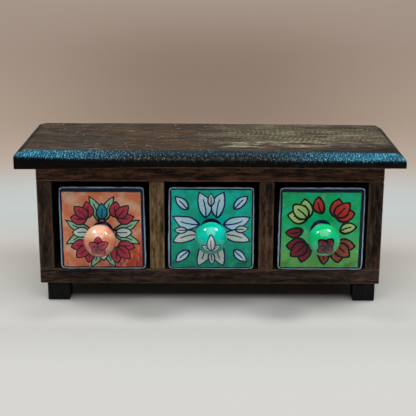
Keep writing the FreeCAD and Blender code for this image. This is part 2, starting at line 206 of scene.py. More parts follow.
def cover(under, *layers):
    """Lays colours over one another.  Each is followed by its mask, which is 1 where it covers."""
    for top, mask in zip(layers[::2], layers[1::2]):
        under = add("ShaderNodeMix", {0: mask, 6: under, 7: top}, data_type="RGBA")[2]
    return under


def cover_value(under, top, mask):
    """Passes from one number to another where the mask is 1."""
    return add("ShaderNodeMix", {0: mask, 2: under, 3: top}, data_type="FLOAT")


def noise_at(sockets):
    """Noise with a seed, which is its W.  Its outputs are Fac and Color."""
    return add("ShaderNodeTexNoise", sockets, noise_dimensions="4D")


def cloud(point, scale, detail=2.0, seed=0.0, **more):
    """Soft noise from 0 to 1.  scale is how many clouds fit in one unit."""
    return noise_at({"Vector": point, "Scale": scale, "Detail": detail, "W": seed} | more)["Fac"]


def floats(*labels):
    """Sockets for plain numbers."""
    return dict.fromkeys(labels, "Float")


def new_group(name, inputs, outputs, kind="ShaderNodeTree"):
    """Opens an empty node group.  Returns it, its inputs and its output node."""
    Value.tree = group = bpy.data.node_groups.new(name, kind)
    for side, sockets in (("INPUT", inputs), ("OUTPUT", outputs)):
        for label, socket_type in sockets.items():
            group.interface.new_socket(label, in_out=side, socket_type="NodeSocket" + socket_type)
    return group, Value(group.nodes.new("NodeGroupInput")), group.nodes.new("NodeGroupOutput")


def use_group(group, sockets):
    """Places a shader group.  Its outputs are found by their names."""
    return add("ShaderNodeGroup", sockets, node_tree=group)


def new_material(name):
    """Opens a material, made or found.  Returns it and its Principled BSDF."""
    material = bpy.data.materials.get(name) or bpy.data.materials.new(name)
    material.use_nodes = True
    Value.tree = material.node_tree
    return material, material.node_tree.nodes["Principled BSDF"]


def finish(shader, tone, rough, height, strength, depth, more):
    """Gives a shader its colour, its roughness, a relief of a depth in millimetres, and more."""
    bump = add("ShaderNodeBump", {"Strength": strength, "Distance": depth * MM, "Height": height})
    fill(shader, {"Base Color": tone, "Roughness": rough, "Normal": bump, **more})


def local_point(centre=(0, 0, 0), turn=(0, 0, 0)):
    """Object coordinates in millimetres from a centre, on turned axes."""
    place = {"Vector": add("ShaderNodeTexCoord")["Object"],
             "Location": centre, "Rotation": turn, "Scale": (MM, MM, MM)}
    return add("ShaderNodeMapping", place, vector_type="TEXTURE")


def put_on(objects, material):
    """Gives objects one material."""
    for thing in objects:
        thing.data.materials.clear()
        thing.data.materials.append(material)


print("helpers ready")

# %% [markdown]
# ## Floor, backdrop and light
#
# The chest stands on one pale sheet that bends up into a warm grey backdrop, so that no corner line shows.
# The sheet's colour also carries painted shade and light round the chest.
#
# Two small soft lights above the lid make the pair of bright dots on each ball knob.  A wide sheet of light
# in front shows the painted drawers and leaves the floor under the chest dark.

# %% Bend the sheet
FLOOR_FRONT = -1.6
BEND_START = 0.17
BEND_RADIUS = 0.25
SHEET_TOP = 1.6
SHEET_HALF_WIDTH = 2.4
BEND_STEPS = 32

profile = [(FLOOR_FRONT, 0), (BEND_START, 0)]
for number in range(1, BEND_STEPS + 1):
    angle = math.pi / 2 * number / BEND_STEPS
    profile.append((BEND_START + BEND_RADIUS * math.sin(angle), BEND_RADIUS * (1 - math.cos(angle))))
profile.append((BEND_START + BEND_RADIUS, SHEET_TOP))
points = [(side * SHEET_HALF_WIDTH, y, z) for y, z in profile for side in (-1, 1)]
faces = [(row, row + 1, row + 3, row + 2) for row in range(0, len(points) - 2, 2)]
sheet_mesh = bpy.data.meshes.new("paper_sheet")
sheet_mesh.from_pydata(points, [], faces)
for face in sheet_mesh.polygons:
    face.use_smooth = True
sheet = new_object("paper_sheet", sheet_mesh)
print("sheet with", len(faces), "faces")

# %% Colour the sheet along its length
# where, in metres of depth plus height, and the colour there.  Some stops are painted shade and light:
# darker just in front of and beside the chest, lighter by its feet, and pale blue, a painted reflection,
# where the sheet starts to bend
SHEET_COLOURS_AND_PAINTED_LIGHT = ((-0.2, "c4c3bf"), (-0.13, "c1c1bd"), (-0.08, "b7b7b4"), (-0.035, "c5c5c2"),
                 (0.04, "c3c1bb"), (0.09, "bdbbb5"), (0.19, "bcc5c5"), (0.24, "bcc1bf"), (0.3, "b6a89b"),
                 (0.38, "ad9b8c"), (0.5, "a69588"), (0.6, "ad9d90"))


def paper():
    """Matt paper, pale in front and warm grey behind, with painted shade and light, and clear from its back.
    """
    material, shader = new_material("paper")
    x, y, z = split(add("ShaderNodeTexCoord")["Object"])
    first, last = SHEET_COLOURS_AND_PAINTED_LIGHT[0][0], SHEET_COLOURS_AND_PAINTED_LIGHT[-1][0]
    # the ramp paints shade and light along the sheet as well as its colour
    ramp = add("ShaderNodeValToRGB", {0: (y + z - first) / (last - first)})
    elements = ramp.node.color_ramp.elements
    while len(elements) < len(SHEET_COLOURS_AND_PAINTED_LIGHT):
        elements.new(0.5)
    for stop, (where, code) in zip(elements, SHEET_COLOURS_AND_PAINTED_LIGHT):
        stop.position = (where - first) / (last - first)
        stop.color = colour(code)
    # painted shade: a darker warm grey patch on the backdrop behind the chest, fading to the sides
    height = fade(z, 0.015, 0.06) * fade(z, 0.19, 0.09)
    tone = cover(ramp, "7e6c5e", fade(abs(x), 0.28, 0.02) * height * 0.75)
    fill(shader, {"Base Color": tone, "Roughness": 0.9, "Specular IOR Level": 0.1})
    # a view from behind or below looks through the sheet's back at the chest
    from_back = add("ShaderNodeNewGeometry")["Backfacing"]
    clear = add("ShaderNodeBsdfTransparent")
    surface = add("ShaderNodeMixShader", {0: from_back, 1: Value(shader), 2: clear})
    fill(material.node_tree.nodes["Material Output"], {"Surface": surface})
    return material


put_on([sheet], paper())

# %% Hang the lights
def soft_light(name, place, aim, size, watts):
    """A square area light that faces the aim, in metres and watts."""
    lamp = bpy.data.lights.new(name, "AREA")
    lamp.size = size
    lamp.energy = watts
    light = new_object(name, lamp)
    light.location = place
    light.rotation_euler = (Vector(aim) - Vector(place)).to_track_quat("-Z", "Y").to_euler()


soft_light("overhead_left", (-0.3, -0.02, 0.46), (-0.06, -0.02, 0), 0.12, 1.0)
soft_light("overhead_right", (0.27, -0.02, 0.46), (0.06, -0.02, 0), 0.12, 1.0)
soft_light("ceiling_sheet", (0, -0.4, 1.05), (0, -0.05, 0.05), 1.2, 11.0)

world = bpy.data.worlds.new("grey_room")
bpy.context.scene.world = world
world.use_nodes = True
fill(world.node_tree.nodes["Background"], {"Color": "f2f4f8", "Strength": 0.06})
bpy.context.scene.view_settings.view_transform = "Standard"
print("two lamps, a wide sheet of light and a dim world")

# %% [markdown]
# ## A solid on a lattice
#
# The boards, the lid and the tubs are all boxes of a kind.  We cut the space round each into cells and put a
# face wherever a solid cell meets an empty one.  The faces share their corners, so the result is closed.  A
# function moves each corner, and a box becomes a worn board or a soft tub.

# %% Build a mesh from solid cells
def stops(low, high, rim, step):
    """Cuts from low to high: close together within the rim at both ends, a step apart between."""
    near_edge = [rim * share for share in (0, 0.25, 0.6)]
    span = high - low - 2 * rim
    count = max(1, round(span / step))
    middle = [low + rim + span * number / count for number in range(count + 1)]
    return [low + gap for gap in near_edge] + middle + [high - gap for gap in reversed(near_edge)]


def lattice_solid(name, cuts, place, is_solid=lambda cell: True):
    """A closed, smooth mesh object from the solid cells between three lists of cuts."""
    mesh = bmesh.new()
    corners = {}
    cells = [range(len(line) - 1) for line in cuts]

    def corner(index):
        if index not in corners:
            corners[index] = mesh.verts.new(place(Vector(line[i] for line, i in zip(cuts, index))))
        return corners[index]

    for cell in ((i, j, k) for i in cells[0] for j in cells[1] for k in cells[2] if is_solid((i, j, k))):
        for axis, side in ((axis, side) for axis in range(3) for side in (0, 1)):
            beside = list(cell)
            beside[axis] += 2 * side - 1
            if beside[axis] in cells[axis] and is_solid(beside):
                continue
            square = []
            for across, along in ((0, 0), (1, 0), (1, 1), (0, 1)):
                index = list(cell)
                index[axis] += side
                index[(axis + 1) % 3] += across
                index[(axis + 2) % 3] += along
                square.append(corner(tuple(index)))
            face = mesh.faces.new(square if side else reversed(square))
            face.smooth = True
    data = bpy.data.meshes.new(name)
    mesh.to_mesh(data)
    mesh.free()
    return new_object(name, data)


# %% [markdown]
# ## Worn boards
#
# Use has rounded these boards' edges, more in some places than in others.  A Bevel modifier would round
# every edge alike.  So each corner of the lattice is rounded by a radius that noise changes along the edge,
# and the faces sink by a tenth of a millimetre.

# %% Shape the boards and the feet
EDGE_WEAR = 1.1 * MM      # the largest radius of a worn edge
FACE_HOLLOW = 0.16 * MM   # how deep a face may dip
EDGE_PATCHES = 90         # patches of more and less wear, per metre
FACE_PATCHES = 45


def measure(node):
    """A CAD node's lowest corner, highest corner, centre and half size."""
    low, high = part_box(node)
    return low, high, (low + high) / 2, (high - low) / 2


def core_of(offset, half, radius):
    """The nearest point of a box that is smaller by the radius all round."""
    return Vector(max(radius - h, min(h - radius, o)) for o, h in zip(offset, half))


def worn_at(point, wear, hollow, seed):
    """How round an edge is near a point, and how deep a face dips there."""
    return (wear * (0.65 + 0.35 * noise.noise(point * EDGE_PATCHES + seed)),
            hollow * (0.5 + 0.5 * noise.noise(point * FACE_PATCHES - seed)))


def worn_block(node, step, wear=EDGE_WEAR):
    """A board or block with worn edges in place of a CAD node."""
    low, high, centre, half = measure(node)

    def place(point):
        radius, dip = worn_at(point, wear, FACE_HOLLOW, centre * 31)
        core = core_of(point - centre, half, radius)
        return centre + core + (point - centre - core).normalized() * (radius - dip)

    cuts = [stops(low[axis], high[axis], wear, step) for axis in range(3)]
    block = lattice_solid("wood_" + node, cuts, place)
    body = frame["nodes"][node]["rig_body"]
    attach(block, body)
    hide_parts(node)
    return block


UPRIGHTS = ("left_side", "left_divider", "right_divider", "right_side")
FEET = [f"foot_{end}_{side}" for end in ("front", "back") for side in ("left", "right")]
BOARDS = ("top_board", "bottom_board", "back_panel", *UPRIGHTS)
boards = {node: worn_block(node, 3.5 * MM) for node in BOARDS}
feet = {node: worn_block(node, 2.5 * MM, wear=1.4 * MM) for node in FEET}
print_faces({**boards, **feet})

# %% [markdown]
# ## The lid
#
# Above the lid's shoulder, every corner of the lattice moves inwards as it rises, which makes the bevel on
# all four sides at once.  The board has warped, so its right corners lie a little low.

# %% Shape the lid
BEVEL_WIDTH = 6.5 * MM
BEVEL_HEIGHT = 5.0 * MM
LID_EDGE_WEAR = 1.0 * MM
LID_HOLLOW = 0.35 * MM
SAG_BEHIND = 0.9 * MM   # how far the right corners hang down
SAG_IN_FRONT = 1.2 * MM
LEFT_SHOULDER_RISE = 2.4 * MM
LEFT_LIP_DROP = 1.4 * MM
LIP_START = 1.5 * MM    # how far beyond the case the drop starts, and how soon it is whole
LIP_PASSAGE = 3 * MM
LID_STEP = 2.5 * MM

lid_low, lid_high, lid_centre, lid_half = measure("lid")
shoulder = lid_high.z - BEVEL_HEIGHT


def place_on_lid(point):
    """Rounds the lid's lower edges, cuts its bevel and sinks its faces a little."""
    offset = point - lid_centre
    radius, dip = worn_at(point, LID_EDGE_WEAR, LID_HOLLOW, Vector())
    core = core_of(offset, lid_half, radius)
    if point.z > shoulder:
        core.z = offset.z
    away = offset - core
    reach = max(abs(part) for part in away)
    moved = lid_centre + core + away.normalized() * (reach - dip)
    rise = max(0.0, point.z - shoulder) / BEVEL_HEIGHT
    for axis in (0, 1):
        inset = rise * BEVEL_WIDTH / lid_half[axis]
        moved[axis] = lid_centre[axis] + (moved[axis] - lid_centre[axis]) * (1 - inset)
    if rise > 0.99:
        moved.z -= dip
    to_right, to_back = ((point[axis] - lid_centre[axis]) / lid_half[axis] for axis in (0, 1))
    sag = SAG_BEHIND * max(0.0, to_back) + SAG_IN_FRONT * max(0.0, -to_back)
    moved.z -= sag * min(rise, 1.0) * max(0.0, to_right)
    return moved


lid_cuts = [*(stops(lid_low[axis], lid_high[axis], LID_EDGE_WEAR, LID_STEP) for axis in (0, 1)),
            [lid_low.z + gap * MM for gap in (0, 0.25, 0.6, 1, 2.4, 3.9, 4.7)]
            + [shoulder + gap * MM for gap in (0, 0.6, 1.4, 2.5, 3.6, 4.4, 5.0)]]
lid = lattice_solid("wood_lid", lid_cuts, place_on_lid)
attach(lid, "case")
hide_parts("lid")

# use has worn down the shoulder and the bevel's upper edge
mesh = bmesh.new()
mesh.from_mesh(lid.data)
worn = [vertex for vertex in mesh.verts
        if abs(vertex.co.z - shoulder) < 0.3 * MM or vertex.co.z > lid_high.z - 0.8 * MM]
for _ in range(3):
    bmesh.ops.smooth_vert(mesh, verts=worn, factor=0.5, use_axis_x=True, use_axis_y=True, use_axis_z=True)
mesh.to_mesh(lid.data)
mesh.free()

# the bevel was cut by hand and is shallower at the left end, so the shoulder rises there, and the overhang's
# underside hangs a little lower
case_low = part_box("top_board")[0]
for vertex in lid.data.vertices:
    to_left = min(1.0, max(0.0, (lid_centre.x - vertex.co.x) / lid_half.x))
    risen = shoulder + LEFT_SHOULDER_RISE * to_left ** 2
    beyond = max(case_low.x - vertex.co.x, case_low.y - vertex.co.y) - LIP_START
    drop = LEFT_LIP_DROP * to_left ** 2 * min(1.0, max(0.0, beyond / LIP_PASSAGE))
    if vertex.co.z < shoulder:
        share = (vertex.co.z - lid_low.z) / (shoulder - lid_low.z)
        vertex.co.z = lid_low.z - drop + share * (risen - lid_low.z + drop)
    else:
        vertex.co.z = risen + (vertex.co.z - shoulder) * (lid_high.z - risen) / (lid_high.z - shoulder)
print("lid:", len(lid.data.polygons), "faces,", len(worn), "corners smoothed")

# %% [markdown]
# ## The drawers' tubs
#
# Each drawer is a thick ceramic tub with an open top, a slightly full front and soft lips.  A coarse cage of
# cells with an empty middle, smoothed by subdivision, gives just that, and cuts close to an edge keep its
# roundness small.  Each front leans its own way.

# %% Shape the tubs
TUB_WALL = 4.5 * MM
TUB_FRONT_WALL = 5.5 * MM
TUB_FLOOR = 5.0 * MM
FRONT_FULLNESS = 1.0 * MM
FRONT_CORNER = 3.4 * MM    # the radius of the front's four corners
CLAY_WOBBLE = 0.12 * MM
# how far the front's edges stay inside the tub's box: left top, left bottom, right top, right bottom
FRONT_LEAN = {"left": (0.0, 0.1, 0.7, 0.0), "middle": (0.5, 0.0, 0.1, 0.0), "right": (0.5, 0.1, 0.1, 0.3)}


def make_tub(bay):
    """A ceramic tub in place of the CAD one."""
    low, high, centre, half = measure(f"drawer_{bay}_tub")
    lean = [gap * MM for gap in FRONT_LEAN[bay]]

    def place(point):
        offset = point - centre
        core = core_of(offset, half, FRONT_CORNER)
        away = Vector((offset.x - core.x, 0, offset.z - core.z))
        core.y = offset.y
        point = centre + core + away.normalized() * max(abs(away.x), abs(away.z))
        across, rise = ((point[axis] - centre[axis]) / half[axis] for axis in (0, 2))
        left, right = (top + (bottom - top) * (1 - rise) / 2 for top, bottom in (lean[:2], lean[2:]))
        point.x += left * (1 - across) / 2 - right * (1 + across) / 2
        near_front = max(0.0, 1 - (point.y - low.y) / TUB_FRONT_WALL)
        point.y += FRONT_FULLNESS * near_front * min(1.0, abs(across) ** 3 + abs(rise) ** 3)
        return point

    def cuts(axis, near, shares, far):
        """Gaps from the low side, shares of half the length, and gaps from the high side."""
        return [*(low[axis] + gap for gap in near), *(low[axis] + half[axis] * share for share in shares),
                *(high[axis] - gap for gap in far)]

    side = (0, 1.7 * MM, TUB_WALL, TUB_WALL + 1.8 * MM)
    middle = (0.6, 1.0, 1.4)
    xs = cuts(0, side, (0.5, 1.0, 1.5), side[::-1])
    ys = cuts(1, (0, 1.9 * MM, TUB_FRONT_WALL, TUB_FRONT_WALL + 2 * MM), middle,
              (TUB_WALL + 2 * MM, TUB_WALL, 1.7 * MM, 0))
    zs = cuts(2, (0, 1.9 * MM, TUB_FLOOR, TUB_FLOOR + 2 * MM), middle, (1.6 * MM, 0))

    def is_clay(cell):
        return not (2 <= cell[0] < len(xs) - 3 and 2 <= cell[1] < len(ys) - 3 and cell[2] >= 2)

    cage = lattice_solid(f"ceramic_tub_{bay}", (xs, ys, zs), place, is_clay)
    smooth = cage.modifiers.new("soft clay", "SUBSURF")
    smooth.levels = smooth.render_levels = 3
    tub = freeze(cage)
    normals = [vertex.normal.copy() for vertex in tub.data.vertices]
    for vertex, normal in zip(tub.data.vertices, normals):
        vertex.co += normal * CLAY_WOBBLE * (noise.noise(vertex.co * 60) - 0.6)
    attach(tub, f"drawer_{bay}")
    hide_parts(f"drawer_{bay}_tub")
    return tub


def freeze(thing):
    """Applies an object's modifiers."""
    seen = thing.evaluated_get(bpy.context.evaluated_depsgraph_get())
    mesh = bpy.data.meshes.new_from_object(seen)
    mesh.name = thing.name
    thing.modifiers.clear()
    thing.data = mesh
    return thing


tubs = {bay: make_tub(bay) for bay in BAYS}
print_faces(tubs)

# %% [markdown]
# ## The ball knobs
#
# In Geometry Nodes a straight curve runs out from the drawer, and Curve to Mesh sweeps a circle along it.
# At each point the circle's radius is the larger of the neck's and the ball's, with a soft passage between
# the two.  The points crowd together towards the tip, where the radius changes fastest.  Each knob gets its
# material here by name, and the material's nodes come with the glazes.

# %% Turn the knobs with Geometry Nodes
BALL_RADIUS = 10.6 * MM
WOBBLE = 0.35 * MM
# Sink is how far the knob's foot reaches into the tub's front
KNOB_SIZES = {"Ball Radius": BALL_RADIUS - WOBBLE / 3, "Neck Radius": 5.6 * MM, "Foot Radius": 7.6 * MM,
              "Flare": 2.6 * MM, "Sink": 1.2 * MM, "Wobble": WOBBLE}


def new_shape(name, sizes):
    """Opens an empty Geometry Nodes tree that is given sizes and a material."""
    skin = {"Geometry": "Geometry"}
    return new_group(name, skin | sizes | {"Finish": "Material"}, skin, "GeometryNodeTree")


def finish_skin(skin, result, material):
    """The last steps of such a tree: real faces, smooth and with a material."""
    skin = add("GeometryNodeRealizeInstances", {0: skin})
    skin = add("GeometryNodeSetShadeSmooth", {0: skin})
    fill(result, {0: add("GeometryNodeSetMaterial", {0: skin, "Material": material})})


def turned_knob():
    """A Geometry Nodes tree that turns a ball on a flared neck along -Y."""
    tree, given, result = new_shape("turned_knob", floats(*KNOB_SIZES, "Reach", "Seed"))
    reach, ball, neck = given["Reach"], given["Ball Radius"], given["Neck Radius"]
    line = add("GeometryNodeCurvePrimitiveLine", {"End": (0, -1, 0)})
    line = add("GeometryNodeResampleCurve", {"Curve": line, "Count": 64})
    share = add("GeometryNodeSplineParameter")["Factor"]
    place = join(0, (reach + given["Sink"]) * (1 - share) ** 2 - reach)
    line = add("GeometryNodeSetPosition", {"Geometry": line, "Position": place})
    height = split(add("GeometryNodeInputPosition"))[1] * -1
    above_centre = height - (reach - ball)
    ball_part = root(most(0, ball ** 2 - above_centre * above_centre))
    flare_left = most(0, 1 - most(0, height) / given["Flare"])
    widening = (given["Foot Radius"] - neck) * flare_left ** 2
    neck_part = neck + widening - maths("GREATER_THAN")(above_centre, 0)
    radius = maths("SMOOTH_MAX")(ball_part, neck_part, 2.5 * MM)
    ring = add("GeometryNodeCurvePrimitiveCircle", {"Resolution": 56, "Radius": 1.0})
    sweep = {"Curve": line, "Profile Curve": ring, "Scale": radius, "Fill Caps": True}
    skin = add("GeometryNodeCurveToMesh", sweep)
    skin = add("GeometryNodeMergeByDistance", {"Geometry": skin, "Distance": 0.02 * MM})
    dents = noise_at({"Scale": 70.0, "Detail": 0.0, "W": given["Seed"]})["Color"]
    push = vector("SCALE", vector("SUBTRACT", dents, (0.5, 0.5, 0.5)), Scale=given["Wobble"])
    skin = add("GeometryNodeSetPosition", {"Geometry": skin, "Offset": push})
    finish_skin(skin, result, given["Finish"])
    return tree


def grow(name, tree, values, mesh=None):
    """Runs a Geometry Nodes tree on a mesh and keeps the result as a plain mesh."""
    thing = new_object(name, mesh or bpy.data.meshes.new(name))
    modifier = thing.modifiers.new(name, "NODES")
    modifier.node_group = tree
    for item in tree.interface.items_tree:
        if item.item_type == "SOCKET" and item.in_out == "INPUT" and item.name in values:
            modifier[item.identifier] = values[item.name]
    return freeze(thing)


def make_knob(bay, tree, seed):
    """A ball knob in place of the CAD one."""
    low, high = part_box(f"drawer_{bay}_knob")
    own = {"Reach": high.y - low.y - WOBBLE / 2, "Seed": seed,
           "Finish": bpy.data.materials.new(f"glaze_knob_{bay}")}
    knob = grow(f"ceramic_knob_{bay}", tree, KNOB_SIZES | own)
    knob.data.transform(Matrix.Translation(((low.x + high.x) / 2, high.y, (low.z + high.z) / 2)))
    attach(knob, f"drawer_{bay}")
    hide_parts(f"drawer_{bay}_knob")
    return knob


knob_tree = turned_knob()
knobs = {bay: make_knob(bay, knob_tree, float(seed)) for seed, bay in enumerate(BAYS, 1)}
print_faces(knobs)

# %% [markdown]
# ## What wood looks like, as a group
#
# Stained hardwood shows growth rings, fine streaks along the grain, short dark pores, and broad patches
# where the stain took more or less.  The rings come from the distance to the tree's heart, and the rest is
# noise that is stretched along the board.  The group takes a point in millimetres with X along the grain.

# %% Build the wood figure group
def wood_figure():
    """Masks for rings, streaks, pores and patches of stain."""
    tree, given, out = new_group(
        "wood_figure",
        {"Point": "Vector", "Ring Centre": "Vector", **floats("Seed", "Ring Gap", "Ring Stretch", "Sway")},
        floats("Rings", "Streaks", "Pores", "Patches"))
    point = vector("ADD", given["Point"], vector("SCALE", (137, 61, 89), Scale=given["Seed"]))

    x, y, z = split(vector("SUBTRACT", given["Point"], given["Ring Centre"]))
    distance = vector("LENGTH", join(x / given["Ring Stretch"], y, z))["Value"]
    sway = cloud(stretch(point, 0.012, 0.06, 0.06), 1.0, 3.0)
    turns = (distance + sway * given["Sway"]) / given["Ring Gap"]
    rings = maths("SINE")(turns * (2 * math.pi))

    streaks = cloud(stretch(point, 0.07, 0.36, 0.36), 1.0, 7.0, Roughness=0.72)
    dashes = cloud(stretch(point, 0.3, 1.3, 1.3), 1.0, 4.0)
    patches = cloud(stretch(point, 0.03, 0.12, 0.12), 1.0, 4.0)
    fill(out, {"Rings": fade(rings, -0.4, 1.0), "Streaks": fade(streaks, 0.4, 0.64),
               "Pores": fade(dashes, 0.5, 0.68), "Patches": fade(patches, 0.42, 0.58)})
    return tree


figure = wood_figure()
print("wood_figure:", len(figure.nodes), "nodes")

# %% [markdown]
# ## Wear along the edges
#
# Stain rubs off along a board's edges.  For a box the distance to the nearest edge needs no baked map.  On
# the surface, one of the three distances to the box's sides is zero, and the smaller one of the other two is
# the distance to the nearest edge.

# %% Build the edge wear group
def edge_wear():
    """1 along the edges of a box and 0 away from them, with a ragged border."""
    tree, given, out = new_group(
        "edge_wear", {"Point": "Vector", "Half Size": "Vector", **floats("Width", "Seed")}, floats("Wear"))
    x, y, z = split(vector("SUBTRACT", given["Half Size"], vector("ABSOLUTE", given["Point"])))
    middle = x + y + z - least(least(x, y), z) - most(most(x, y), z)
    ragged = cloud(given["Point"], 0.35, 4.0, given["Seed"])
    fill(out, {"Wear": fade(middle, given["Width"] * (ragged * 2), 0)})
    return tree


wear_group = edge_wear()
print("edge_wear:", len(wear_group.nodes), "nodes")

# %% [markdown]
# ## Stained boards
#
# The case is dark brown with paler streaks, the left divider is tan, the top board is warmer, and the feet
# are nearly black.  One function makes all of these from four colours and the direction of the grain.

# %% Stain the boards
ALONG_X = (0, 0, 0)
ALONG_Z = (0, math.radians(-90), 0)
WOOD_SHEEN = {"Specular IOR Level": 0.07}


def stained_wood(node, dark, middle, light, rubbed, grain, seed):
    """Stained and lightly waxed wood for one board."""
    _, _, centre, half = measure(node)
    material, shader = new_material("stained_" + node)
    straight = local_point(centre)
    along = local_point(centre, grain) if grain != ALONG_X else straight
    masks = use_group(figure, {"Point": along, "Seed": seed, "Ring Gap": 5.0, "Sway": 12.0,
                               "Ring Centre": (20, -35, -28), "Ring Stretch": 9.0})
    edges = use_group(wear_group, {"Point": straight, "Half Size": half / MM, "Width": 1.3, "Seed": seed})
    tone = cover(dark, middle, masks["Patches"], light, masks["Streaks"] * 0.9,
                 dark, masks["Rings"] * 0.22, "060302", masks["Pores"] * 0.6, rubbed, edges["Wear"] * 0.7)
    relief = mul_add(masks["Rings"], 0.35, masks["Streaks"] * 0.5 - masks["Pores"])
    finish(shader, tone, mul_add(masks["Patches"], 0.2, 0.42), relief, 0.5, 0.12, WOOD_SHEEN)
    return material


# the dark, middle, light and rubbed tone of each stain
DARK_STAIN = ("150f0e", "2f2521", "5a4638", "6a5644")
WARM_STAIN = ("1a120f", "36271f", "78523e", "80644e")
TAN_STAIN = ("33251a", "634e36", "a48660", "917853")
BROWN_STAIN = ("1e1410", "412f25", "775a45", "6e5541")
FOOT_STAIN = ("100f11", "19181a", "252223", "2c2828")
STAINS = {"top_board": WARM_STAIN, "left_divider": TAN_STAIN, "right_divider": BROWN_STAIN,
          "back_panel": BROWN_STAIN}

for seed, (node, block) in enumerate(boards.items(), 1):
    grain = ALONG_Z if node in UPRIGHTS else ALONG_X
    put_on([block], stained_wood(node, *STAINS.get(node, DARK_STAIN), grain, float(seed)))
for seed, (node, block) in enumerate(feet.items(), 11):
    put_on([block], stained_wood(node, *FOOT_STAIN, ALONG_Z, float(seed)))
print("stained", len(boards) + len(feet), "pieces")

# %% [markdown]
# ## The lid's top and its worn paint
#
# The lid's wood is greyed by handling.  To the right the saw met a growth ring almost flat, so the board has
# an olive field with a ragged cream border, crossed by arcs of rings.
#
# The front bevel was painted turquoise and rubbed back with a brush.  Its paint is bright at both ends and
# worn to a thin dark blue in the middle, and pale streaks along its brush marks are pale specks in the
# middle and painted highlights towards the ends.  It is a mask from the height and depth of each point,
# broken up by noise that is stretched down the slope like brush marks.

# %% Paint the lid
def lid_finish():
    """Greyed dark wood with a rubbed turquoise bevel in front, and painted highlights towards its ends."""
    material, shader = new_material("lid_finish")
    half = lid_half / MM
    point = local_point(lid_centre)
    x, y, z = split(point)
    masks = use_group(figure, {"Point": point, "Seed": 5.3, "Ring Gap": 3.3, "Sway": 17.0,
                               "Ring Centre": (-12, 20, -9), "Ring Stretch": 1.0})
    patches, streaks, rings, pores = (masks[name] for name in ("Patches", "Streaks", "Rings", "Pores"))
    edges = use_group(wear_group, {"Point": point, "Half Size": half, "Width": 1.2, "Seed": 2.0})

    def patch(stretched, detail, seed, start, end):
        """A mask of blots, from noise that is stretched by three factors."""
        return fade(cloud(stretch(point, *stretched), 1.0, detail, seed), start, end)

    wander = cloud(stretch(point, 0.035, 0.1, 0.1), 1.0, 5.0, 9.0)
    pale = cover("5e4a36", "4c473c", fade(wander, 0.47, 0.53), "80807c", fade(x, 60, 116))
    tone = cover("14100d", "30261d", patches, pale, streaks * 0.8)

    # the olive field: right of the middle and behind a wandering border
    behind = mul_add(wander, 60, y - 8)
    sideways = mul_add(wander, 120, x - 48)
    field = fade(behind, -3, 2) * fade(sideways, 0, 35)
    border = fade(abs(behind), 5, 1) * fade(sideways, 10, 40)
    ring_mask = rings * mul_add(field, mul_add(patches, 0.48, 0.06), 0.12)
    tone = cover(tone, cover("3c392d", "74715b", streaks), field * 0.85, "a39f88", border * streaks,
                 "201a14", ring_mask, "0c0806", pores * 0.6)

    # reddish and blackish patches where the stain lies thick, and grey scuffs and specks
    thick = patch((0.016, 0.05, 0.05), 2.0, 3.0, 0.52, 0.66)
    black = patch((0.022, 0.06, 0.06), 3.0, 14.0, 0.48, 0.6) * fade(x, 30, -20)
    scuffs = patch((0.1, 0.5, 0.4), 5.0, 8.0, 0.64, 0.7)
    specks = patch((0.7, 0.35, 0.35), 3.0, 2.0, 0.65, 0.71)
    tone = cover(tone, "3a231b", thick * 0.5, "1d1c1d", black * 0.55, "a8a6a2", scuffs * 0.7,
                 "b4b2a4", specks * 0.6)

    # the sides and the lower edge are darker, and the lowest edge is rubbed pale in places
    below_top = fade(z, half.z - 0.3, half.z - 1.2)
    lowest = edges["Wear"] * fade(z, 1.2 - half.z, 0.6 - half.z) * fade(x, -70, -20)
    tone = cover(tone, "070505", below_top * 0.94, "8a6c52", lowest * 0.7)

    # the painted band runs from just over the bevel's upper edge to just under the shoulder
    to_left = most(x / -half.x, 0)
    risen = mul_add(to_left * to_left, LEFT_SHOULDER_RISE / MM, half.z - BEVEL_HEIGHT / MM)
    brush = cloud(stretch(point, 1.5, 0.35, 0.5), 1.0, 5.0, Roughness=0.7)
    ragged = mul_add(brush, 4, -2)
    from_shoulder = z - risen + ragged
    in_front = fade(y + half.y + ragged, BEVEL_WIDTH / MM + 1.5, BEVEL_WIDTH / MM - 0.5)
    band = in_front * fade(from_shoulder, -1.6, 0.6)
    to_ends = fade(abs(x + 6), 30, 118)
    deep = cover("08090a", "0a2838", fade(from_shoulder, 1.8, 3.4), "083850", to_ends)
    strong = fade(mul_add(to_ends, 0.04, brush), 0.5, 0.64)
    # pale streaks along the brush marks: rubbed pale paint in the middle, painted highlights towards the
    # ends
    pale_specks_and_glints = fade(brush, 0.54, 0.68) * mul_add(to_ends, 0.7, 0.3)
    bright = cover(cover("37484a", "1b7898", to_ends), cover("8f9a8c", "8cdce6", to_ends), pale_specks_and_glints)
    tone = cover(tone, cover(deep, bright, strong), band)

    rough = cover_value(mul_add(patches, 0.22, 0.32), 0.45, band)
    relief = mul_add(band * strong, 1.5, streaks * 0.5 - pores)
    finish(shader, tone, rough, relief, 0.5, 0.15, WOOD_SHEEN)
    return material


put_on([lid], lid_finish())

# %% [markdown]
# ## Flecks of paint on the bevel
#
# A nearly dry brush leaves small raised flecks, many at the ends of the bevel and few in the middle.  A
# colour alone looks printed there, so the flecks are real.  Geometry Nodes scatters points on a copy of the
# front bevel, a fixed gap apart, and puts a flat bead of two dozen faces on each.

# %% Scatter the flecks with Geometry Nodes
FLECK_SIZES = {"Gap": 0.9 * MM, "Density": 900000.0, "Radius": 0.3 * MM, "Thickness": 0.4,
               "Bare Middle": 90 * MM}


def bevel_faces():
    """A mesh of the lid's front bevel alone."""
    mesh = bmesh.new()
    mesh.from_mesh(lid.data)
    others = [face for face in mesh.faces
              if face.calc_center_median().z < shoulder or face.normal.y >= -0.4 or face.normal.z <= 0.3]
    bmesh.ops.delete(mesh, geom=others, context="FACES")
    data = bpy.data.meshes.new("front_bevel")
    mesh.to_mesh(data)
    mesh.free()
    return data


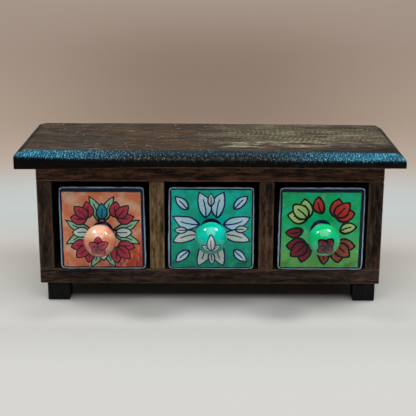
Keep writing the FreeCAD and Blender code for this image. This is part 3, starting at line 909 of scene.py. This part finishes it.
def scattered_flecks():
    """A Geometry Nodes tree that puts flat beads on a surface, fewer near the middle."""
    tree, given, result = new_shape("scattered_flecks", {**floats(*FLECK_SIZES), "Seed": "Int"})
    from_middle = abs(split(add("GeometryNodeInputPosition"))[0])
    chance = mul_add(fade(from_middle, 0.0, given["Bare Middle"]), 0.8, 0.2)
    spots = add("GeometryNodeDistributePointsOnFaces", {
        "Mesh": given["Geometry"], "Distance Min": given["Gap"], "Density Max": given["Density"],
        "Density Factor": chance, "Seed": given["Seed"]}, distribute_method="POISSON")
    bead = add("GeometryNodeMeshUVSphere", {"Segments": 6, "Rings": 4, "Radius": given["Radius"]})
    # sockets 2 and 3 are the random value's least and most
    long, wide = (add("FunctionNodeRandomValue", {2: 0.5, 3: 1.3, "Seed": seed}, data_type="FLOAT")[1]
                  for seed in (1, 2))
    beads = add("GeometryNodeInstanceOnPoints", {
        "Points": spots, "Instance": bead, "Rotation": spots["Rotation"],
        "Scale": join(long, wide, given["Thickness"])})
    finish_skin(beads, result, given["Finish"])
    return tree


def fleck_paint():
    """Chalky turquoise at the ends and pale olive in the middle."""
    material, shader = new_material("fleck_paint")
    point = local_point(lid_centre)
    to_ends = fade(abs(split(point)[0]), 30, 80)
    shade = fade(cloud(point, 0.9, 3.0), 0.35, 0.65)
    tone = cover(cover("3a4642", "8a9284", shade), cover("1d7c9a", "8edce6", shade), to_ends)
    fill(shader, {"Base Color": tone, "Roughness": mul_add(shade, 0.2, 0.45), "Specular IOR Level": 0.2})
    return material


flecks = grow("lid_paint_flecks", scattered_flecks(),
              FLECK_SIZES | {"Seed": 4, "Finish": fleck_paint()}, bevel_faces())
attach(flecks, "case")
print("flecks:", len(flecks.data.polygons), "faces")

# %% [markdown]
# ## Painted leaves
#
# A leaf is the space that two equal circles share, and the distance to such a shape is one square root.  So
# one group can draw a leaf's fill, outline and vein at any size, place and angle.  A flower is a few leaves
# round a point.

# %% Build the leaf group
def painted_leaf():
    """The fill, the outline and the vein of one leaf.  All lengths are in millimetres."""
    tree, given, out = new_group(
        "painted_leaf",
        {"Point": "Vector", "Centre": "Vector", **floats("Angle", "Length", "Width", "Bend", "Line")},
        floats("Fill", "Outline", "Along"))
    away = vector("SUBTRACT", given["Point"], given["Centre"])
    x, y, _ = split(add("ShaderNodeVectorRotate", {"Vector": away, "Angle": given["Angle"] * -1},
                        rotation_type="Z_AXIS"))
    half_length = given["Length"] / 2
    half_width = given["Width"] / 2
    share = x / half_length
    across = y + given["Bend"] * (share * share - 1)
    # the leaf is fuller near its foot than near its tip
    across = across / most(1 - share * 0.22, 0.3)
    radius = (half_length * half_length + half_width * half_width) / (half_width * 2)
    lifted = abs(across) + (radius - half_width)
    distance = root(x * x + lifted * lifted) - radius
    body = fade(distance, 0.1, -0.1)
    half_line = given["Line"] / 2
    rim = fade(abs(distance), half_line + 0.12, half_line)
    vein_width = given["Line"] * 0.36
    vein = fade(abs(across), vein_width + 0.12, vein_width) * fade(share, 0.5, 0.3) * body
    fill(out, {"Fill": body, "Outline": most(rim, vein), "Along": mul_add(share, 0.5, 0.5)})
    return tree


leaf_group = painted_leaf()
print("painted_leaf:", len(leaf_group.nodes), "nodes")

# %% [markdown]
# ## Three painted designs
#
# Each design is a list of leaves.  The painter worked round the knob, so most leaves start on a circle round
# it.  Leaves painted later cover the earlier ones.

# %% Lay out the designs
RIM = 1.3    # the width of the pale rim, mm
# the navy border inside the rim: left, right, top, bottom, mm
BORDERS = {"left": (1.0, 1.5, 2.4, 0.6), "middle": (1.0, 0.7, 0.8, 0.5), "right": (1.0, 1.9, 2.2, 0.7)}
# how far below the middle of its front a knob's axis is, mm
KNOB_DROP = {bay: (sum(corner.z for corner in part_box(f"drawer_{bay}_tub"))
                   - sum(corner.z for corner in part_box(f"drawer_{bay}_knob"))) / 2 / MM for bay in BAYS}


def leaf(x, y, angle, length, width, paint, bend=0.0, line=0.7):
    """One leaf with its foot at x, y in millimetres, pointing along an angle in degrees."""
    return x, y, math.radians(angle), length, width, paint, bend, line


def round_leaf(distance, angle, turn, *size, **more):
    """A leaf whose foot is at a distance from the knob's axis, along the angle."""
    direction = math.radians(angle)
    return leaf(math.cos(direction) * distance, math.sin(direction) * distance, angle + turn, *size, **more)


def flower(y, petals, *size, start=90, **more):
    """Petals all round a point below the middle."""
    return [leaf(0, y, start + 360 * number / petals, *size, **more) for number in range(petals)]


DESIGNS = {
    # pairs of green leaves, and three-petalled crimson blossoms on the diagonals between them
    "left": [round_leaf(*foot, *size, line=0.9) for angle in (90, 0, 180, 270) for foot, size in (
        ((8, angle + 13, 8), (18, 6.0, "mint", -1.2)),
        ((8, angle - 13, -8), (18, 6.0, "mint", 1.2)),
        ((9, angle, 0), (11, 7.0, "petrol" if angle == 90 else "shell")))]
    + [round_leaf(14, angle, turn, 11.5, 7.4, "crimson", bend=turn / 50, line=0.9)
       for angle in (46, 135, 225, 314) for turn in (-44, 44, 0)],
    # a rosette of pale blue leaves with small buds in the corners
    "middle": [round_leaf(9, angle, 6 * side, 18, 8.4, "shell" if angle > 180 else "ice",
                          bend=1.4 * side, line=1.0)
               for angle, side in zip((68, 22, 338, 293, 247, 203, 157, 112), (1, -1) * 4)]
    + [round_leaf(21, angle, 0, 12, 5.8, "ice", line=1.0) for angle in (44, 137, 224, 316)]
    + [round_leaf(16, angle, 4, 9, 4.4, "shell", line=0.8) for angle in (0, 90, 180, 270)],
    # four tulips towards the corners and a broad leaf between each two, in thick outlines
    "right": [round_leaf(13.5, angle, turn, 13, 9.0, paint, line=1.3)
              for angle, paint in ((47, "red"), (136, "lime"), (222, "maroon"), (317, "rust"))
              for turn in (-36, 36, 0)]
    + [round_leaf(12.5, angle, 10, 11.5, 7.0, paint, bend=0.8, line=1.3)
       for angle, paint in ((2, "lime"), (92, "red"), (178, "maroon"), (272, "rust"))],
}
KNOB_DESIGNS = {
    "left": flower(-1.0, 5, 6.4, 5.2, "crimson", line=0.6),
    "middle": [leaf(0, -5.6, angle, length, length / 2, "shell")
               for angle, length in ((150, 7.0), (32, 7.0), (90, 10.5))],
    "right": flower(-1.6, 4, 6.2, 5.8, "maroon", start=45, line=1.1),
}
for bay in BAYS:
    print(bay, "front:", len(DESIGNS[bay]), "leaves, knob:", len(KNOB_DESIGNS[bay]))

# %% [markdown]
# ## Glazed paint
#
# Under a clear glaze, brushed colour pools, thins out and shows its strokes.  So each ground mixes three
# related colours by cloudy noise, and each leaf fades to a paler colour.  The point itself is pushed about
# by a little noise, which gives every line the tremble of a hand.  A thin pale blue rim runs round each
# front: pale glaze with a painted reflection of cool light.  Inside it comes a navy border, and the edges
# behind it are near black, a dark glaze that is also painted shade.

# %% Build the glazes
PAINTS = {"mint": ("74b494", "b0dcbc"), "petrol": ("067a9c", "1cb0cc"), "crimson": ("a41c3c", "d04c68"),
          "ice": ("a4daf2", "e6f8ff"), "shell": ("b4cdc6", "e6f0ea"), "red": ("bc241c", "e04c3c"),
          "lime": ("98c874", "d4ec9c"), "maroon": ("5c1220", "9c3040"), "rust": ("7c3428", "bc6850")}
GROUNDS = {"left": ("e07c54", "e2b496", "bc4028"), "middle": ("00b290", "04d0c2", "0a9474"),
           "right": ("04b868", "10c892", "70b458")}
CLOUDS = {"left": "e8ccb0", "middle": "2cd4c6", "right": "78d8a0"}
LINES = {"left": "14261f", "middle": "101a58", "right": "0b0f12"}
NAVY, DARK_GLAZE_AND_SHADE, RIM_BLUE, GLAZE_WHITE = "081238", "0a0b12", "aacbe0", "dfe4e2"
BARE_CLAY, CLAY_SPECK = "c9b79c", "8d7458"
KNOB_RING = -16.6    # the navy foot of a knob starts this far behind the ball's centre, mm
BARE_FROM = -13      # the glaze on a tub's sides ends this far behind its front, mm
FACING = (math.pi / 2, 0, 0)    # turns a point so that X is to the right, Y up and Z towards the viewer


def shaky(point, seed, reach=2.2):
    """The point pushed about a little, as a painter's hand would."""
    slow = noise_at({"Vector": point, "Scale": 0.1, "Detail": 2.0, "W": seed})["Color"]
    return vector("MULTIPLY_ADD", vector("SUBTRACT", slow, (0.5, 0.5, 0.5)), (reach, reach, 0), point)


def wash(point, bay, seed, lower):
    """A brushed ground of three tones and pale clouds.  lower is 1 where the third tone gathers."""
    first, second, third = GROUNDS[bay]
    blots = cloud(stretch(point, 0.09, 0.12, 0.1), 1.0, 4.0, seed, Distortion=0.5)
    strokes = cloud(stretch(point, 0.5, 0.2, 0.5), 1.0, 4.0, seed)
    puffs = fade(cloud(point, 0.16, 4.0, seed + 20), 0.56, 0.72)
    return cover(first, second, fade(blots, 0.4, 0.66), third, lower * fade(strokes, 0.25, 0.55),
                 CLOUDS[bay], puffs * 0.45)


def paint_leaves(point, tone, leaves, line_colour, drop=0.0):
    """Paints a design over a ground, moved down by the drop."""
    streak = cloud(point, 0.9, 2.0)
    for x, y, turn, length, width, paint, bend, line in leaves:
        centre = (x + math.cos(turn) * length / 2, y - drop + math.sin(turn) * length / 2, 0)
        shape = use_group(leaf_group, {"Point": point, "Centre": centre, "Angle": turn, "Length": length,
                                       "Width": width, "Bend": bend, "Line": line})
        body = cover(*PAINTS[paint], shape["Along"] * fade(streak, 0.3, 0.65))
        tone = cover(tone, body, shape["Fill"], line_colour, shape["Outline"])
    return tone


def finish_glaze(shader, tone, coat, clay=None):
    """A glossy coat over the colour, gently rippled."""
    ripple = cloud(local_point(), 0.14, 2.0)
    rough = mul_add(ripple, 0.12, 0.1)
    if clay:
        rough = cover_value(rough, 0.85, clay)
    finish(shader, tone, rough, ripple, 0.35, 0.5,
           {"Specular IOR Level": 0.05, "Coat Weight": coat, "Coat Roughness": 0.04})


def tub_glaze(bay, seed):
    """The painted front, the near-black edge of dark glaze and painted shade, and the bare clay sides of one
    tub.
    """
    low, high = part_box(f"drawer_{bay}_tub")
    half = (high - low) / 2 / MM
    material, shader = new_material(f"glaze_tub_{bay}")
    point = local_point(((low.x + high.x) / 2, low.y, (low.z + high.z) / 2), FACING)
    x, y, z = split(point)
    rise = y / half.z
    lean = FRONT_LEAN[bay]
    left_gap, right_gap = (mul_add(rise, (top - bottom) / 2, (top + bottom) / 2)
                           for top, bottom in (lean[:2], lean[2:]))
    from_left = x + half.x - left_gap
    across = mul_add(from_left / (2 * half.x - left_gap - right_gap), 2 * half.x, -half.x)
    square = join(across, y)
    hand = shaky(square, seed)
    hand_x, hand_y, _ = split(hand)

    lower = fade(hand_y, 6, -22)
    if bay == "left":
        lower = lower * fade(hand_x, -16, 14)
    ground = wash(hand, bay, seed, lower)
    tone = paint_leaves(hand, ground, DESIGNS[bay], LINES[bay], KNOB_DROP[bay])

    # a navy ring round the knob's foot
    from_knob = vector("DISTANCE", hand, (0, -KNOB_DROP[bay], 0))["Value"]
    tone = cover(tone, NAVY, fade(from_knob, 8.2, 7.8))

    # the navy border: broad above, thin elsewhere
    steady_x, steady_y, _ = split(shaky(square, seed + 3, 0.9))
    gaps = (steady_x + half.x, half.x - steady_x, half.z - steady_y, steady_y + half.z)
    field = 1.0
    for gap, width in zip(gaps, BORDERS[bay]):
        field = fade(gap, RIM + width, RIM + width + 0.3) * field
    tone = cover(NAVY, tone, field)

    # the pale blue rim follows the rounded outline: the distance to a rounded square.  It is pale glaze with
    # a painted reflection of cool light in its blue
    corner = FRONT_CORNER / MM
    past = [abs(along) - (size - corner) for along, size in ((across, half.x), (y, half.z))]
    outside = vector("LENGTH", join(*(most(value, 0) for value in past)))["Value"]
    from_edge = corner - (outside + least(most(*past), 0))
    brush = mul_add(cloud(point, 0.2, 2.0, seed), 0.8, -0.4)
    tone = cover(tone, RIM_BLUE, fade(from_edge + brush, RIM, RIM - 0.3))

    # behind the rim the sides are near black: a dark glaze brushed round them that is also painted shade in
    # the gaps round the drawer.  The clay beyond it was left bare
    clay = cover(BARE_CLAY, CLAY_SPECK, fade(cloud(point, 0.35, 4.0), 0.62, 0.75))
    bare = fade(mul_add(brush, 3, z), BARE_FROM, BARE_FROM - 0.6)
    tone = cover(tone, DARK_GLAZE_AND_SHADE, fade(z + brush, -0.9, -1.5), clay, bare)
    finish_glaze(shader, tone, 0.3, bare)
    return material


def knob_glaze(bay, seed):
    """The painted ball and the white neck of one knob."""
    low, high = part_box(f"drawer_{bay}_knob")
    ball_centre = Vector(((low.x + high.x) / 2, low.y + BALL_RADIUS, (low.z + high.z) / 2))
    material, shader = new_material(f"glaze_knob_{bay}")
    point = local_point(ball_centre, FACING)
    _, y, z = split(point)
    hand = shaky(point, seed + 7)
    ground = wash(hand, bay, seed, fade(y, 2, -9) * 0.7)
    tone = paint_leaves(stretch(hand, 1, 1, 0), ground, KNOB_DESIGNS[bay], LINES[bay])
    neck = fade(mul_add(cloud(point, 0.3, 2.0), 2, -1) + z, -7.6, -8.4)
    foot = fade(z, KNOB_RING + 0.4, KNOB_RING)
    tone = cover(tone, ground, fade(z, 0, -1), cover(ground, GLAZE_WHITE, 0.6), neck, NAVY, foot)
    finish_glaze(shader, tone, 1.0)
    return material


for seed, bay in enumerate(BAYS, 1):
    put_on([tubs[bay]], tub_glaze(bay, float(seed)))
    put_on([knobs[bay]], knob_glaze(bay, float(seed)))
print("glazed", 2 * len(BAYS), "pieces")

# %% [markdown]
# ## Steel fasteners
#
# The nails, pins and screws keep their CAD shapes.  Only their heads show, below and behind.  The steel has
# gone dull and brown in spots, and the rust is rougher and no metal at all.

# %% Give the fasteners their steel
FASTENERS = ("top_board_nails", "bottom_board_nails", "back_panel_pins", "foot_nails", "lid_screws")


def old_steel():
    """Dull steel with spots of rust."""
    material, shader = new_material("old_steel")
    point = local_point()
    rust = fade(cloud(point, 0.5, 5.0), 0.48, 0.62)
    finish(shader, cover("7b7873", "5a3420", rust), mul_add(rust, 0.4, 0.42), cloud(point, 1.6, 3.0),
           0.4, 0.08, {"Metallic": 1 - rust})
    return material


put_on([frame["nodes"][name] for name in FASTENERS], old_steel())
print("steel on", len(FASTENERS), "groups of fasteners")
